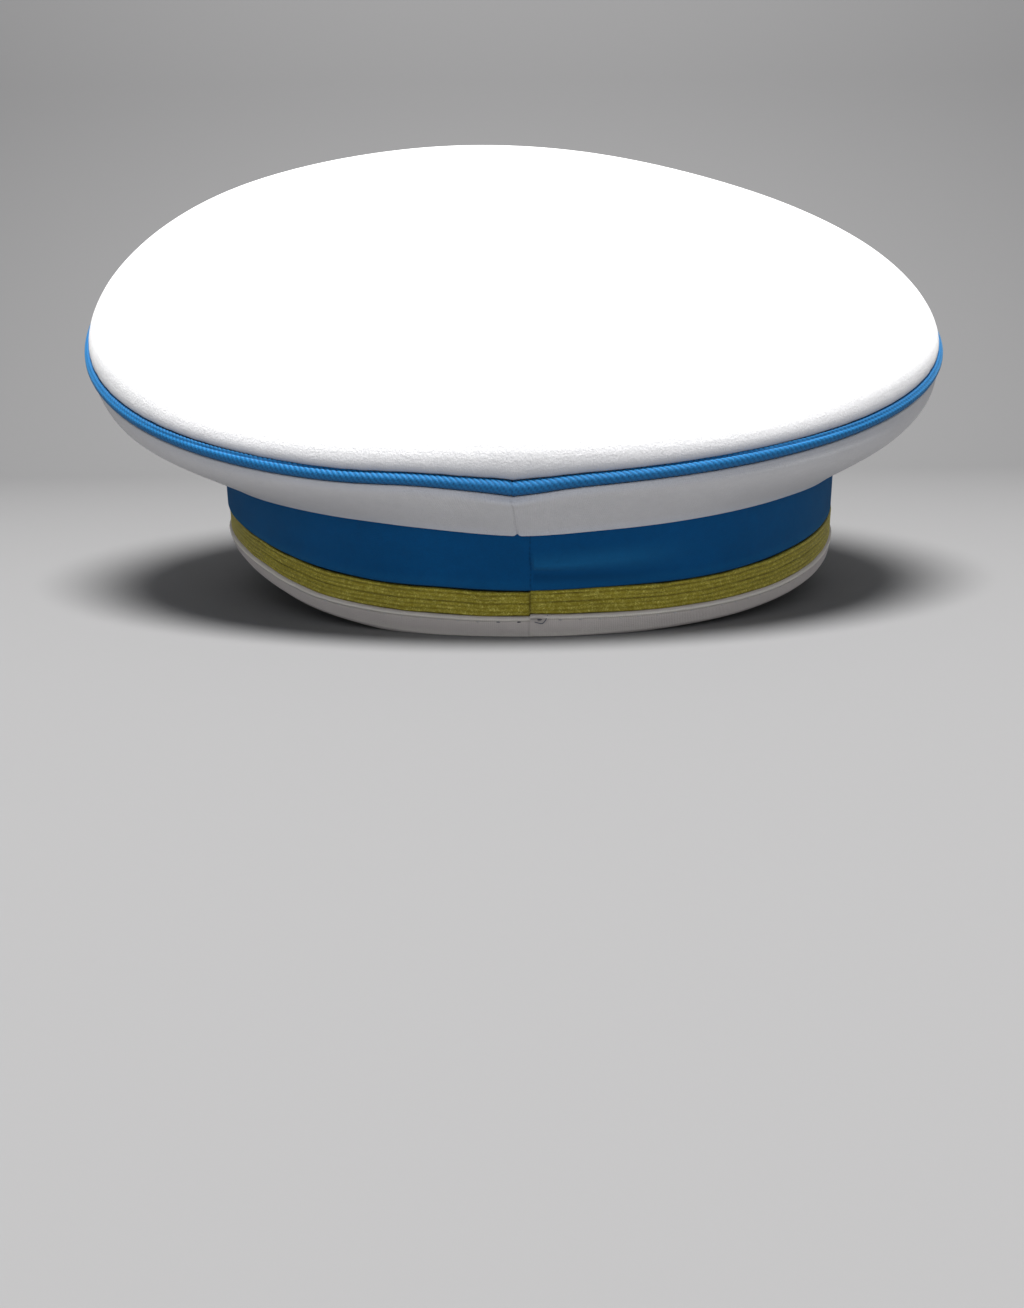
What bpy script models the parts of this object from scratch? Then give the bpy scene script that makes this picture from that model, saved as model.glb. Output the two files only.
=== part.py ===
# Peaked cap: oval crown with piping, flared side panel, cloth band, gold braid, folded rim and peak.
# Cap frame: rim plane level at z = 0, band centred on the origin, rear seam at +Y, peak at -Y.
# The whole cap is then tipped so that it rests on the rear of its rim and on the peak's edge.
import math

import bmesh
import bpy
import numpy as np

# Driving sizes, in metres
BAND_HALF_WIDTH = 0.0855      # head band, to its outer face
BAND_HALF_LENGTH = 0.1050
BAND_WALL = 0.0022
BAND_HEIGHT = 0.0230          # rim plane up to the band's top edge

RIM_HEIGHT = 0.0055           # white strip that shows below the braid
RIM_INSIDE = 0.0060           # height of its leg inside the band
RIM_CLOTH = 0.0012
RIM_RIDGE_HEIGHT = 0.0019     # raised ridge along the strip's upper edge
RIM_RIDGE_PROUD = 0.0005
RIM_FOLD = 0.0005             # softened corners of the fold

BRAID_HEIGHT = 0.0046
BRAID_THICKNESS = 0.0014
BRAID_GROOVE = 0.0004
BRAID_RIBS = 4

CROWN_HALF_WIDTH = 0.1172     # to the middle of the piping
CROWN_FRONT = 0.1332          # centre to the piping at the front
CROWN_REAR = 0.1180           # centre to the piping at the rear
CROWN_RISE = 0.0662           # rim plane up to the crown's centre
CROWN_LEAN = 0.0046           # crown's centre beside the band's centre
CROWN_TWIST = 0.0041          # opposite quarters of the crown rise and fall by this
CROWN_SAG = 0.0033            # sides of the crown hang lower than its ends by this
CROWN_TILT = 15.9             # degrees, front up
CROWN_ROLL = 1.1              # degrees, +X side up
CROWN_EDGE = 0.0095           # height of the soft rounded edge
CROWN_DOME = 0.0040           # rise of the top inside that edge
CROWN_WALL = 0.0020

PIPING_RADIUS = 0.0017
SEAM_DIP = 0.0015             # piping sinks at the rear seam
SEAM_SPREAD = 0.0090

SIDE_WALL = 0.0022            # measured level
SIDE_PROUD = 0.0005           # side panel past the band and past the piping's middle
SIDE_BULGE = 0.0062
SIDE_BULGE_POWER = 1.5        # above 1, the bulge sits above the panel's middle
SIDE_DROOP = 0.0012
SIDE_SEAM_SHIFT = 0.0027      # lower end of the side panel's seam beside the band's seam

PEAK_DEPTH = 0.0500           # along its slope, at the middle
PEAK_THICKNESS = 0.0022
PEAK_SLOPE = 42.0             # degrees below the rim plane
PEAK_SEAT = 0.0030            # height of its upper edge on the rim
PEAK_END = 0.0040             # depth left at each end
PEAK_HALF_SPAN = 64.0         # degrees round the band
PEAK_STRAIGHT = 24.0          # degrees of that along which the edge meets the ground
PEAK_TAPER = 0.8              # below 1, the peak stays deep further towards its ends
PEAK_CURVE = 0.18             # how much steeper it grows towards its edge

FIT_GAP = 0.0003              # clearance between neighbouring pieces
RIM_FLAT = 0.0005             # rim cloth pressed flat where it rests
PEAK_FLAT = 0.0004            # peak's lower corner flattened where it rests

DIVISIONS = 64                # round the cap
PEAK_DIVISIONS = 44
SIDE_ROWS = 7

# Section of the crown's soft edge: inset from the piping as a share of the edge's height,
# and rise as a share of the way from the piping up to the edge's top.
CROWN_EDGE_ROWS = [
    # inset, rise
    (0.04, 0.00),
    (-0.02, 0.20),
    (0.00, 0.44),
    (0.13, 0.69),
    (0.39, 0.89),
    (0.88, 1.00),
]
# Rows of the dome inside the edge: size as a share of the oval within the edge.
CROWN_DOME_ROWS = [0.80, 0.55, 0.28]
# Rows across the peak, as shares of its depth.
PEAK_ROWS = [0.0, 0.2, 0.4, 0.6, 0.8, 1.0]

# colour, roughness, metallic
WHITE_CLOTH = ((0.82, 0.82, 0.84), 0.85, 0.0)
BLUE_CLOTH = ((0.01, 0.07, 0.18), 0.80, 0.0)
LIGHT_BLUE = ((0.03, 0.23, 0.55), 0.70, 0.0)
GOLD_THREAD = ((0.36, 0.28, 0.03), 0.45, 0.6)
BLACK_PATENT = ((0.012, 0.012, 0.013), 0.12, 0.0)


def round_angles():
    # from the rear seam, one full turn
    return np.arange(DIVISIONS) * (2 * math.pi / DIVISIONS)


def ellipse(angles, half_width, half_length, out=0.0):
    # points and outward normals; out moves each point along its normal
    x = -half_width * np.sin(angles)
    y = half_length * np.cos(angles)
    normal = np.stack([x / half_width**2, y / half_length**2], 1)
    normal /= np.linalg.norm(normal, axis=1)[:, None]
    return np.stack([x, y], 1) + normal * out, normal


def band_ring(out, z, turn=0.0):
    # ring round the head band, out from its outer face
    plan, _ = ellipse(round_angles() + turn, BAND_HALF_WIDTH, BAND_HALF_LENGTH, out)
    return np.column_stack([plan, np.full(len(plan), z)])


def crown_half_length(y):
    return np.where(y > 0, CROWN_REAR, CROWN_FRONT)


def set_crown(points):
    # crown frame to cap frame: twist and sag, then tilt, roll, and up to its place
    x, y, z = points.T
    across = x / CROWN_HALF_WIDTH
    along = y / crown_half_length(y)
    z = z - CROWN_TWIST * across * along - CROWN_SAG * (across**2 - along**2)
    tilt = math.radians(CROWN_TILT)
    y, z = y * math.cos(tilt) + z * math.sin(tilt), z * math.cos(tilt) - y * math.sin(tilt)
    roll = math.radians(CROWN_ROLL)
    x, z = x * math.cos(roll) - z * math.sin(roll), z * math.cos(roll) + x * math.sin(roll)
    return np.column_stack([x + CROWN_LEAN, y, z + CROWN_RISE])


def crown_ring(inset, rise, share=1.0):
    # ring of the crown, inset from the piping's middle, then shrunk to a share of its size
    angles = round_angles()
    half_length = crown_half_length(np.cos(angles))
    plan, _ = ellipse(angles, CROWN_HALF_WIDTH, half_length, -inset)
    from_seam = np.abs((angles + math.pi) % (2 * math.pi) - math.pi) * CROWN_HALF_WIDTH
    fade = max(0.0, 1.0 - max(rise, 0.0) / CROWN_EDGE)
    dip = SEAM_DIP * fade * np.exp(-from_seam / SEAM_SPREAD)
    return set_crown(np.column_stack([plan * share, rise - dip]))


def collection(name):
    group = bpy.data.collections.new(name)
    bpy.context.scene.collection.children.link(group)
    return group


def material(name, finish):
    colour, roughness, metallic = finish
    made = bpy.data.materials.new(name)
    made.use_nodes = True
    shader = made.node_tree.nodes["Principled BSDF"]
    shader.inputs["Base Color"].default_value = (*colour, 1.0)
    shader.inputs["Roughness"].default_value = roughness
    shader.inputs["Metallic"].default_value = metallic
    return made


def add_mesh(name, vertices, faces, finish, group, frame, sharp=40.0):
    mesh = bpy.data.meshes.new(name)
    mesh.from_pydata(np.asarray(vertices).tolist(), [], faces)
    edit = bmesh.new()
    edit.from_mesh(mesh)
    bmesh.ops.recalc_face_normals(edit, faces=edit.faces)
    edit.to_mesh(mesh)
    edit.free()
    mesh.shade_smooth()
    mesh.set_sharp_from_angle(angle=math.radians(sharp))
    mesh.materials.append(material(name, finish))
    part = bpy.data.objects.new(name, mesh)
    part.parent = frame
    group.objects.link(part)
    return part


def strip_faces(rings, count, last_meets_first=False):
    # quads between neighbouring closed rings of the same number of points
    faces = []
    for k in range(rings if last_meets_first else rings - 1):
        low, high = k * count, (k + 1) % rings * count
        for i in range(count):
            j = (i + 1) % count
            faces.append((low + i, low + j, high + j, high + i))
    return faces


def add_ring_wall(name, rings, finish, group, frame):
    # a closed section carried all the way round the cap
    faces = strip_faces(len(rings), DIVISIONS, last_meets_first=True)
    return add_mesh(name, np.concatenate(rings), faces, finish, group, frame)


def add_band(group, frame):
    low, high = RIM_CLOTH + FIT_GAP, BAND_HEIGHT
    section = [(0.0, low), (0.0, high), (-BAND_WALL, high), (-BAND_WALL, low)]
    return add_ring_wall("band", [band_ring(*row) for row in section], BLUE_CLOTH, group, frame)


def rim_outer():
    # outer face of the folded rim, out from the band's outer face
    return FIT_GAP + RIM_CLOTH


def add_rim_binding(group, frame):
    outer, outer_back = rim_outer(), FIT_GAP
    inner_back = -BAND_WALL - FIT_GAP
    inner = inner_back - RIM_CLOTH
    ridge_low = RIM_HEIGHT - RIM_RIDGE_HEIGHT
    ridge_round = RIM_RIDGE_HEIGHT / 3
    section = [
        (outer, RIM_FOLD),
        (outer, ridge_low),
        (outer + RIM_RIDGE_PROUD, ridge_low + ridge_round),
        (outer + RIM_RIDGE_PROUD, RIM_HEIGHT - ridge_round),
        (outer, RIM_HEIGHT),
        (outer_back, RIM_HEIGHT),
        (outer_back, RIM_CLOTH),
        (inner_back, RIM_CLOTH),
        (inner_back, RIM_INSIDE),
        (inner, RIM_INSIDE),
        (inner, RIM_FOLD),
        (inner + RIM_FOLD, 0.0),
        ((inner + outer) / 2, 0.0),
        (outer - RIM_FOLD, 0.0),
    ]
    ground = resting_plane()
    rings = []
    for out, z in section:
        ring = band_ring(out, z)
        if z < RIM_CLOTH:
            # the cloth is pressed up where the cap rests on it
            ring[:, 2] = np.maximum(ring[:, 2], ground(ring[:, 1]))
        rings.append(ring)
    return add_ring_wall("rim_binding", rings, WHITE_CLOTH, group, frame)


def add_gold_braid(group, frame):
    back, front = FIT_GAP, FIT_GAP + BRAID_THICKNESS
    low = RIM_HEIGHT + FIT_GAP
    step = BRAID_HEIGHT / (2 * BRAID_RIBS)
    section = [(back, low + BRAID_HEIGHT), (back, low)]
    for k in range(2 * BRAID_RIBS + 1):
        groove = BRAID_GROOVE if k % 2 == 0 else 0.0
        section.append((front - groove, low + k * step))
    return add_ring_wall("gold_braid", [band_ring(*row) for row in section], GOLD_THREAD, group, frame)


def side_ring(share, depth):
    # ring of the side panel: share of the way up from the band to the piping, depth into its wall
    turn = SIDE_SEAM_SHIFT / BAND_HALF_WIDTH
    low = band_ring(SIDE_PROUD - depth, BAND_HEIGHT + FIT_GAP, turn)
    high = crown_ring(depth - SIDE_PROUD, -PIPING_RADIUS - FIT_GAP)
    _, normal = ellipse(round_angles(), BAND_HALF_WIDTH, BAND_HALF_LENGTH)
    ring = low + (high - low) * share
    ring[:, :2] += normal * SIDE_BULGE * math.sin(math.pi * share**SIDE_BULGE_POWER)
    ring[:, 2] -= SIDE_DROOP * math.sin(math.pi * share)
    return ring


def add_crown_side(group, frame):
    shares = np.linspace(0.0, 1.0, SIDE_ROWS)
    rings = [side_ring(share, 0.0) for share in shares]
    rings += [side_ring(share, SIDE_WALL) for share in shares[::-1]]
    return add_ring_wall("crown_side", rings, WHITE_CLOTH, group, frame)


def add_crown_top(group, frame):
    base = PIPING_RADIUS + FIT_GAP
    rings = []
    for inset, rise in CROWN_EDGE_ROWS:
        rings.append(crown_ring(inset * CROWN_EDGE, base + rise * (CROWN_EDGE - base)))
    inner_inset = CROWN_EDGE_ROWS[-1][0] * CROWN_EDGE
    for share in CROWN_DOME_ROWS:
        rise = CROWN_EDGE + CROWN_DOME * (1 - share**2)
        rings.append(crown_ring(inner_inset, rise, share))
    middle = set_crown(np.array([[0.0, 0.0, CROWN_EDGE + CROWN_DOME]]))
    vertices = np.concatenate(rings + [middle])
    faces = strip_faces(len(rings), DIVISIONS)
    last, pole = (len(rings) - 1) * DIVISIONS, len(vertices) - 1
    for i in range(DIVISIONS):
        faces.append((last + i, last + (i + 1) % DIVISIONS, pole))
    top = add_mesh("crown_top", vertices, faces, WHITE_CLOTH, group, frame)
    upward = sum(face.normal.z for face in top.data.polygons)
    if upward < 0:
        top.data.flip_normals()
    wall = top.modifiers.new("wall", "SOLIDIFY")
    wall.thickness = CROWN_WALL
    wall.offset = -1.0
    wall.use_even_offset = True
    return top


def add_crown_piping(group, frame):
    points = crown_ring(0.0, 0.0)
    curve = bpy.data.curves.new("crown_piping", "CURVE")
    curve.dimensions = "3D"
    curve.bevel_depth = PIPING_RADIUS
    curve.bevel_resolution = 2
    spline = curve.splines.new("POLY")
    spline.points.add(len(points) - 1)
    for point, place in zip(spline.points, points.tolist()):
        point.co = (*place, 1.0)
    spline.use_cyclic_u = True
    spline.use_smooth = True
    curve.materials.append(material("crown_piping", LIGHT_BLUE))
    piping = bpy.data.objects.new("crown_piping", curve)
    piping.parent = frame
    group.objects.link(piping)
    return piping


def ground_slope():
    # slope of the ground in the cap frame, from the rear of the rim to the peak's lower corner
    slope = math.radians(PEAK_SLOPE)
    reach = PEAK_DEPTH * math.cos(slope) - PEAK_THICKNESS * math.sin(slope)
    drop = PEAK_DEPTH * math.sin(slope) + PEAK_THICKNESS * math.cos(slope) - PEAK_SEAT
    run = 2 * (BAND_HALF_LENGTH + rim_outer()) + FIT_GAP + reach
    return (drop + RIM_FLAT - PEAK_FLAT) / run


def resting_plane():
    # height of the ground under a point of the cap frame, given its y
    slope = ground_slope()
    rear = BAND_HALF_LENGTH + rim_outer()
    return lambda y: RIM_FLAT + slope * (y - rear)


def peak_section(angle):
    # one closed section across the peak, square to the band at this angle from the front
    slope = math.radians(PEAK_SLOPE)
    tangent, cosine, sine = math.tan(slope), math.cos(slope), math.sin(slope)
    out = rim_outer() + FIT_GAP
    plan, normal = ellipse(np.array([math.pi + angle]), BAND_HALF_WIDTH, BAND_HALF_LENGTH, out)
    seat, normal = plan[0], normal[0]
    ground, ground_rate = resting_plane(), ground_slope()

    # level reach at which the lower corner meets the ground, pressed in by PEAK_FLAT
    corner_drop = PEAK_THICKNESS * (cosine - ground_rate * normal[1] * sine)
    clear = PEAK_SEAT - ground(seat[1]) - corner_drop + PEAK_FLAT
    reach = clear / (tangent + ground_rate * normal[1])
    past = max(0.0, abs(math.degrees(angle)) - PEAK_STRAIGHT) / (PEAK_HALF_SPAN - PEAK_STRAIGHT)
    taper = (1.0 - min(past, 1.0) ** 2) ** PEAK_TAPER
    reach = PEAK_END + (reach - PEAK_END) * taper

    def at(level, z):
        return np.array([*(seat + normal * level), z])

    def height(point):
        return point[2] - ground(point[1])

    def bend(share):
        return share * (1 - PEAK_CURVE) + PEAK_CURVE * share**2

    top = [at(reach * w, PEAK_SEAT - tangent * reach * bend(w)) for w in PEAK_ROWS]
    under_reach = reach - PEAK_THICKNESS * sine
    under_seat = PEAK_SEAT - PEAK_THICKNESS / cosine
    corner = at(under_reach, top[-1][2] - PEAK_THICKNESS * cosine)
    under_drop = under_seat - corner[2]
    under = [at(under_reach * w, under_seat - under_drop * bend(w)) for w in PEAK_ROWS[:-1]]
    front = corner + (top[-1] - corner) * PEAK_FLAT / (height(top[-1]) - height(corner))
    back = corner + (under[-1] - corner) * PEAK_FLAT / (height(under[-1]) - height(corner))
    return top + [front, back] + under[::-1]


def add_peak(group, frame):
    span = math.radians(PEAK_HALF_SPAN)
    sections = [peak_section(angle) for angle in np.linspace(-span, span, PEAK_DIVISIONS + 1)]
    count = len(sections[0])
    # sections run across the peak, so each is a ring of its own and the two ends are capped
    faces = strip_faces(len(sections), count)
    last = (len(sections) - 1) * count
    faces.append(tuple(range(count)))
    faces.append(tuple(last + i for i in range(count)))
    return add_mesh("peak", np.concatenate(sections), faces, BLACK_PATENT, group, frame)


def world_bounds(parts):
    bpy.context.view_layer.update()
    graph = bpy.context.evaluated_depsgraph_get()
    corners = []
    for part in parts:
        shown = part.evaluated_get(graph)
        mesh = shown.to_mesh()
        flat = np.empty(len(mesh.vertices) * 3)
        mesh.vertices.foreach_get("co", flat)
        matrix = np.array(shown.matrix_world)
        placed = flat.reshape(-1, 3) @ matrix[:3, :3].T + matrix[:3, 3]
        corners += [placed.min(0), placed.max(0)]
        shown.to_mesh_clear()
    return np.min(corners, 0), np.max(corners, 0)


def rest_on_ground(frame, parts):
    # tips the cap so that the ground is level, then centres it over the origin
    frame.rotation_euler = (-math.atan(ground_slope()), 0.0, 0.0)
    low, high = world_bounds(parts)
    middle = (low + high) / 2
    frame.location = (-middle[0], -middle[1], -low[2])


def build():
    for old in list(bpy.data.objects):
        bpy.data.objects.remove(old)
    group = collection("peaked_cap")
    frame = bpy.data.objects.new("cap_frame", None)
    group.objects.link(frame)
    makers = [
        add_band,
        add_rim_binding,
        add_gold_braid,
        add_crown_side,
        add_crown_piping,
        add_crown_top,
        add_peak,
    ]
    parts = [maker(group, frame) for maker in makers]
    rest_on_ground(frame, parts)


build()
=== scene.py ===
# Peaked cap: white crown with light blue piping, blue band with gold braid, folded rim and black peak.
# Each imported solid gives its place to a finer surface, worked out with numpy in the same frame.
import math
from types import SimpleNamespace

import bpy
import numpy as np
from mathutils import Matrix, Vector


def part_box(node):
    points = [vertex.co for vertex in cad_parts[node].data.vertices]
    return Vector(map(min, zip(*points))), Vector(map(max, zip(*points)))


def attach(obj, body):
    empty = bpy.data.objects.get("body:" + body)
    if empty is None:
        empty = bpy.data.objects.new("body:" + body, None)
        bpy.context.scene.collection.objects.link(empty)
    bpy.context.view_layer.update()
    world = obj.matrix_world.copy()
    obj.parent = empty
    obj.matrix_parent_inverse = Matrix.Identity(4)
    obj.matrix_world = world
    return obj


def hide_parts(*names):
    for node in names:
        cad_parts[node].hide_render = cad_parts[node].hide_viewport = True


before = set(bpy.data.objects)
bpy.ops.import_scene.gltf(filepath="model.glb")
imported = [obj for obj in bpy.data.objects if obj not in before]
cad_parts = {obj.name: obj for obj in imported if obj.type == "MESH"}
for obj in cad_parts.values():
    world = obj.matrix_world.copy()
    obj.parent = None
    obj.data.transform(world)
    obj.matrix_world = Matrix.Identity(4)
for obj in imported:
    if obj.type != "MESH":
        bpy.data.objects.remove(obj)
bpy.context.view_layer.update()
pi = math.pi


def named(values):
    # a dictionary's values as names, to keep formulas short
    return SimpleNamespace(**values)


# The cap's form in metres, as its solids have it: rim plane at z = 0, rear seam at +Y, peak at -Y
capForm = {
    "bandHalfWidth": 0.0855,  # head band, to its outer face
    "bandHalfLength": 0.1050,
    "bandHeight": 0.0230,  # rim plane up to the band's top edge
    "crownHalfWidth": 0.1172,  # to the middle of the piping
    "crownFront": 0.1332, "crownRear": 0.1180, "crownRise": 0.0662, "crownLean": 0.0046,
    "crownTwist": 0.0041,  # opposite quarters of the crown rise and fall by this
    "crownSag": 0.0033,  # its sides hang lower than its ends by this
    "crownTilt": 15.9,  # degrees, front up
    "crownRoll": 1.1,  # degrees, +X side up
    "crownEdge": 0.0095,  # height of the soft rounded edge
    "seamDip": 0.0015,  # the piping sinks at the rear seam
    "seamSpread": 0.0090,
    "humpHeight": 0.00062,  # it rises a little beside the seam, at this turn and half width
    "humpTurn": -0.184, "humpWidth": 0.100,
    "dipDepth": 0.00027,  # and sinks a little on its other side
    "dipTurn": 0.045, "dipWidth": 0.045, "fitGap": 0.0003,
    "rimOut": 0.0015,  # outer face of the folded rim, past the band's
    "lowLean": 0.0005,  # rim and braid are drawn towards +X by this
    "rimFlat": 0.0005,  # rim cloth pressed flat where it rests
    "peakDepth": 0.0500, "peakThickness": 0.0022,
    "peakSlope": 42.0,  # degrees below the rim plane
    "peakSeat": 0.0030, "peakFlat": 0.0004,
}
cap = named(capForm)

# Lines of the head band in millimetres above the rim plane, by degrees from the rear seam towards -X:
# the cloth is pulled down at the seam, and the lower edge arches up over the ears
bandLines = [
    # degrees, rim's fold, braid's lower edge, braid's upper edge, join with the side panel
    (-180, 0.0, 5.3, 10.6, 23.4),
    (-125, 0.4, 5.8, 11.2, 23.4),
    (-108, 2.4, 7.2, 12.5, 23.3),
    (-75, 6.2, 8.3, 14.0, 23.2),
    (-60, 5.1, 8.1, 13.9, 23.6),
    (-52, 3.7, 7.3, 13.1, 24.0),
    (-45, 2.5, 6.2, 12.2, 24.4),
    (-40, 1.3, 5.4, 11.6, 24.6),
    (-35, 0.6, 4.8, 11.1, 24.7),
    (-24, -0.5, 4.7, 10.6, 24.8),
    (-14, -0.8, 5.0, 10.9, 24.4),
    (-7, -0.6, 5.0, 10.7, 23.8),
    (-2, -0.6, 5.2, 10.6, 23.4),
    (3, -0.5, 5.2, 10.7, 23.7),
    (9, -0.1, 5.1, 10.9, 24.2),
    (15, 0.0, 4.8, 10.8, 24.4),
    (24, 0.0, 4.4, 10.4, 24.7),
    (33, -0.2, 4.0, 10.4, 24.9),
    (44, -0.1, 3.8, 10.7, 25.0),
    (56, 0.2, 4.1, 11.1, 24.5),
    (80, 1.6, 5.1, 11.9, 24.2),
    (115, 0.9, 6.0, 11.4, 23.8),
    (180, 0.0, 5.3, 10.6, 23.4),
]
foldLine, braidLow, braidHigh, joinLine = 1, 2, 3, 4  # its columns


def bell(x):
    # exp of minus x squared: 1 in the middle, near 0 past 2
    return np.exp(-np.square(x))


def ease(x, low, high):
    # 0 below low, 1 above high, and 3 s^2 - 2 s^3 between them
    s = np.clip((x - low) / (high - low), 0.0, 1.0)
    return s * s * (3 - 2 * s)


def roundTable(rows, turn, column, reach=12):
    # a table's column at each turn: straight between its rows, which start with degrees, then averaged over
    # reach half degrees to each side with bell-shaped weights
    table = np.array(rows)
    half = np.arange(-180, 180, 0.5)
    values = np.interp(half, table[:, 0], table[:, column])
    weights = bell(np.arange(-reach, reach + 1) * 2.4 / reach)
    wrapped = np.concatenate([values[-reach:], values, values[:reach]])
    values = np.convolve(wrapped, weights / weights.sum(), "valid")
    return np.interp(np.degrees(turn), half, values, period=360)


def bandLine(turn, column):
    # height of one of the band's lines in metres
    return roundTable(bandLines, turn, column) / 1000


def ovalPlan(turn, halfWidth, halfLength, out):
    # x = -halfWidth sin(turn), y = halfLength cos(turn), moved out along the oval's own normal
    x = -halfWidth * np.sin(turn)
    y = halfLength * np.cos(turn)
    nx, ny = x / halfWidth**2, y / halfLength**2
    size = np.hypot(nx, ny)
    return x + nx / size * out, y + ny / size * out


def bandPoint(turn, out, z, lean=0.0):
    # a point of the head band's oval, out from its outer face, at height z, drawn towards +X by lean
    x, y = ovalPlan(turn, cap.bandHalfWidth, cap.bandHalfLength, out)
    return np.stack(np.broadcast_arrays(x + lean, y, z), -1)


def crownHalfLength(y):
    # the crown's half length, longer at the front than at the rear
    return np.where(y > 0, cap.crownRear, cap.crownFront)


def setCrown(x, y, z):
    # crown frame to cap frame: twist and sag lower z, then the tilt about X, the roll about Y and the lift
    across = x / cap.crownHalfWidth
    along = y / crownHalfLength(y)
    z = z - cap.crownTwist * across * along - cap.crownSag * (across**2 - along**2)
    tilt, roll = math.radians(cap.crownTilt), math.radians(cap.crownRoll)
    y, z = y * math.cos(tilt) + z * math.sin(tilt), z * math.cos(tilt) - y * math.sin(tilt)
    x, z = x * math.cos(roll) - z * math.sin(roll), z * math.cos(roll) + x * math.sin(roll)
    return np.stack(np.broadcast_arrays(x + cap.crownLean, y, z + cap.crownRise), -1)


def crownPoint(turn, inset, rise, share=1.0):
    # a point of the crown's oval, inset from the piping's middle, its plan shrunk to a share of its size,
    # lowered near the rear seam by seamDip exp(-distance / seamSpread), with a bell-shaped hump and dip
    x, y = ovalPlan(turn, cap.crownHalfWidth, crownHalfLength(np.cos(turn)), -inset)
    fromSeam = np.abs((turn + pi) % (2 * pi) - pi) * cap.crownHalfWidth
    fade = np.clip(1 - np.maximum(rise, 0) / cap.crownEdge, 0, 1)
    dip = cap.seamDip * np.exp(-fromSeam / cap.seamSpread)
    dip = dip + cap.dipDepth * bell((turn - cap.dipTurn) / cap.dipWidth)
    dip = dip - cap.humpHeight * bell((turn - cap.humpTurn) / cap.humpWidth)
    return setCrown(x * share, y * share, rise - dip * fade)


def groundSlope():
    # fall of the peak's lower corner below the rear of the rim, over the level run between them
    slope, depth, thick = math.radians(cap.peakSlope), cap.peakDepth, cap.peakThickness
    reach = depth * math.cos(slope) - thick * math.sin(slope)
    drop = depth * math.sin(slope) + thick * math.cos(slope)
    drop += cap.rimFlat - cap.peakFlat - cap.peakSeat
    return drop / (2 * (cap.bandHalfLength + cap.rimOut) + cap.fitGap + reach)


def ground(y):
    # height of the ground under a point of the cap frame, given its y
    return cap.rimFlat + groundSlope() * (y - cap.bandHalfLength - cap.rimOut)


def restingPlace():
    # the tip about X that levels the ground, and the move that sets the band where its solid lies: the
    # band's lower edge lies on the rim's fold, one clearance up
    tip = Matrix.Rotation(-math.atan(groundSlope()), 4, "X")
    turn = np.linspace(0, 2 * pi, 721)
    edge = [bandPoint(turn, 0.0, z) for z in (cap.rimOut, cap.bandHeight)]
    corner = (np.concatenate(edge) @ np.array(tip.to_3x3()).T).min(0)
    return Matrix.Translation(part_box("band")[0] - Vector(corner)) @ tip


capPlace = restingPlace()


def toRow(points):
    # the cap frame's points, tipped and moved into the row's frame
    return points @ np.array(capPlace.to_3x3()).T + np.array(capPlace.translation)


def roundTurns(count, focus, spread, centre=0.0):
    # turns from front to front, closer together near the centre: the inverse of the running sum of
    # 1 + focus bell((turn - centre) / spread)
    fine = np.linspace(-pi, pi, 20001)
    density = 1 + focus * bell((fine - centre) / spread)
    running = np.cumsum(density) - density[0]
    return np.interp(np.arange(count) / count, running / running[-1], fine)[None, :]


def throughRows(rows, steps):
    # Catmull-Rom curve through a short table's rows, steps points from each row to the next
    knots = np.array(rows, float)
    padded = np.concatenate([[2 * knots[0] - knots[1]], knots, [2 * knots[-1] - knots[-2]]])
    s = (np.arange(steps) / steps)[None, :, None]
    a, b, c, d = (padded[k:len(padded) - 3 + k, None, :] for k in range(4))
    curve = b + 0.5 * s * (c - a + s * (2 * a - 5 * b + 4 * c - d + s * (3 * (b - c) + d - a)))
    return np.concatenate([curve.reshape(-1, knots.shape[1]), knots[-1:]])


def clothWaves(turn, across, seed, lowest, highest, lean, count=9):
    # mean of sine waves, each with a whole number of waves round the cap, its own lean and phase
    draw = np.random.default_rng(seed)
    total = 0.0
    for waves in draw.integers(lowest, highest, count):
        phase = draw.uniform(0, 2 * pi)
        total = total + np.sin(waves * turn + draw.uniform(-lean, lean) * across + phase)
    return total / math.sqrt(count)


def pushOut(points, height):
    # each point moved by its height along the sheet's normal, which is the cross product of the step round
    # the cap and the step across the sheet, at unit length
    aroundStep = np.roll(points, -1, 1) - np.roll(points, 1, 1)
    normal = np.cross(aroundStep, np.gradient(points, axis=0))
    normal = normal / np.linalg.norm(normal, axis=-1, keepdims=True)
    return points + normal * np.broadcast_to(height, points.shape[:2])[..., None]


def roundEdge(outer, inner, away, reach, steps):
    # half ellipse from the outer edge to the inner one: middle + half cos(angle) + beyond sin(angle), where
    # beyond is reach long, square to the wall, on the side that away points to
    middle, half = (outer + inner) / 2, (outer - inner) / 2
    across = half / np.linalg.norm(half, axis=-1, keepdims=True)
    beyond = away - across * (away * across).sum(-1, keepdims=True)
    beyond *= reach / np.linalg.norm(beyond, axis=-1, keepdims=True)
    angle = (np.arange(1, steps) / steps * pi)[:, None, None]
    return middle + half * np.cos(angle) + beyond * np.sin(angle)


def closedSection(outer, inner, reach, steps=6):
    # the outer sheet, round its last row to the inner sheet, back along that, and round the first row
    last = roundEdge(outer[-1], inner[-1], outer[-1] - outer[-2], reach, steps)
    first = roundEdge(inner[0], outer[0], outer[0] - outer[1], reach, steps)
    return np.concatenate([outer, last, inner[::-1], first])


def innerSheet(points, wall, rows):
    # a coarser copy of the sheet, one wall further in
    chosen = np.linspace(0, len(points) - 1, rows).round().astype(int)
    return pushOut(points, -wall)[chosen]


def runningLength(points):
    # distance along a row of points, from 0, back to the first point at the end
    loop = np.concatenate([points, points[:1]])
    return np.concatenate([[0], np.cumsum(np.linalg.norm(np.diff(loop, axis=0), axis=1))])


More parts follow.
